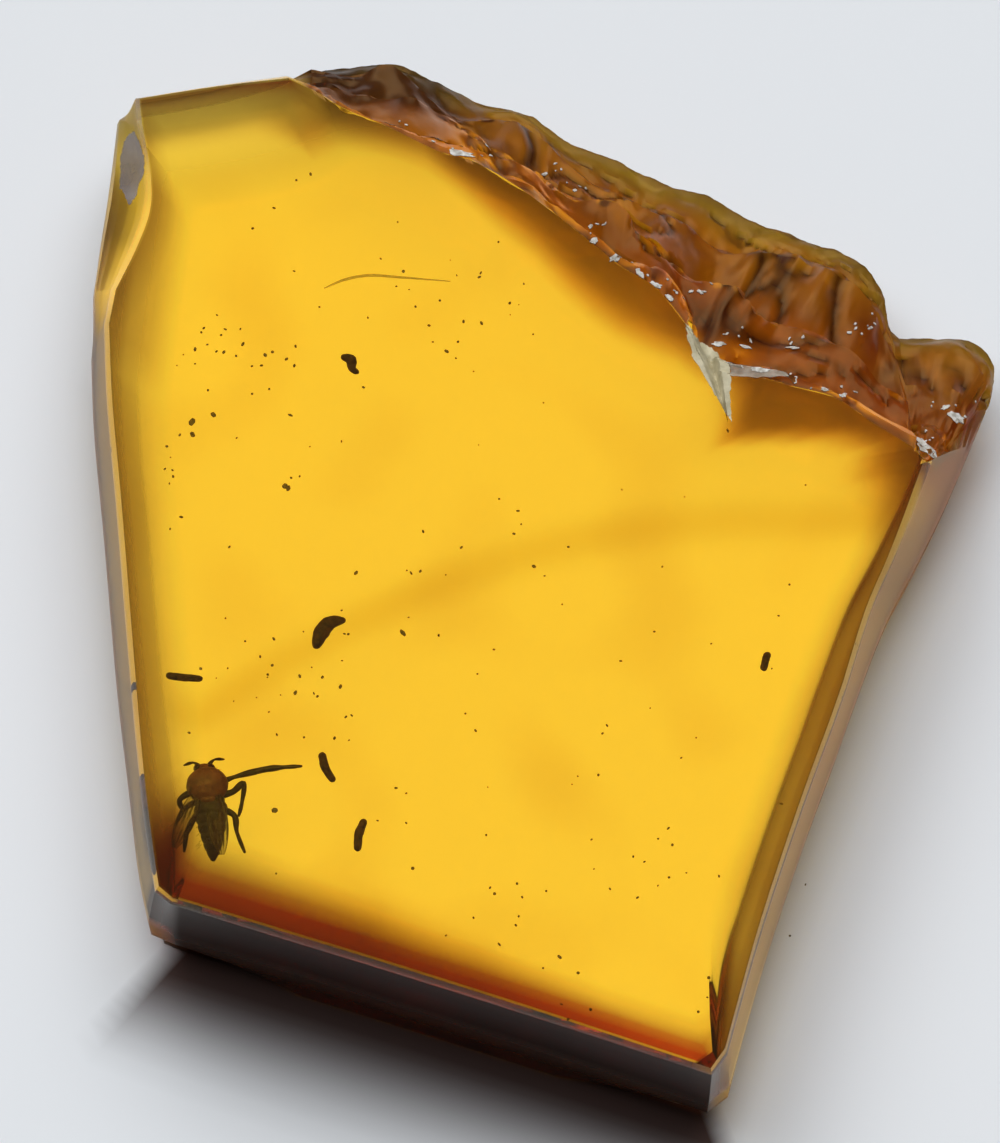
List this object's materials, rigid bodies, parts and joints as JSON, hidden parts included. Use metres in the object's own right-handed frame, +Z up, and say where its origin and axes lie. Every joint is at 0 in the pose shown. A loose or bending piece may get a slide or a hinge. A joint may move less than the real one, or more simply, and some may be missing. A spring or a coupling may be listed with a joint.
{
  "type": "insect in amber",
  "caption": "Polished slab of clear yellow amber with a broken, weathered crust along one edge, holding a small fly and scraps of plant debris.",
  "frame": {"origin": "centre of the slab's outline, on the surface that it lies on", "axes": "+Z up out of the large polished face, +Y along the slab's long direction towards the broken crust, +X across it to the right"},
  "size_m": [0.0294, 0.036, 0.0065],
  "materials": {
    "amber": "clear honey-yellow fossil resin, polished on its faces, with a rough orange-brown broken crust along one edge",
    "chitin": "dark reddish-brown insect chitin, nearly black on the abdomen",
    "plant_debris": "dull dark brown plant debris"
  },
  "bodies": {
    "root": {"amber_upper_half": "amber", "amber_lower_half": "amber", "insect": "chitin", "scrap_curled": "plant_debris", "scrap_left": "plant_debris", "scrap_middle": "plant_debris", "scrap_lower": "plant_debris", "scrap_right": "plant_debris", "scrap_crossed": "plant_debris"}
  },
  "joints": []
}
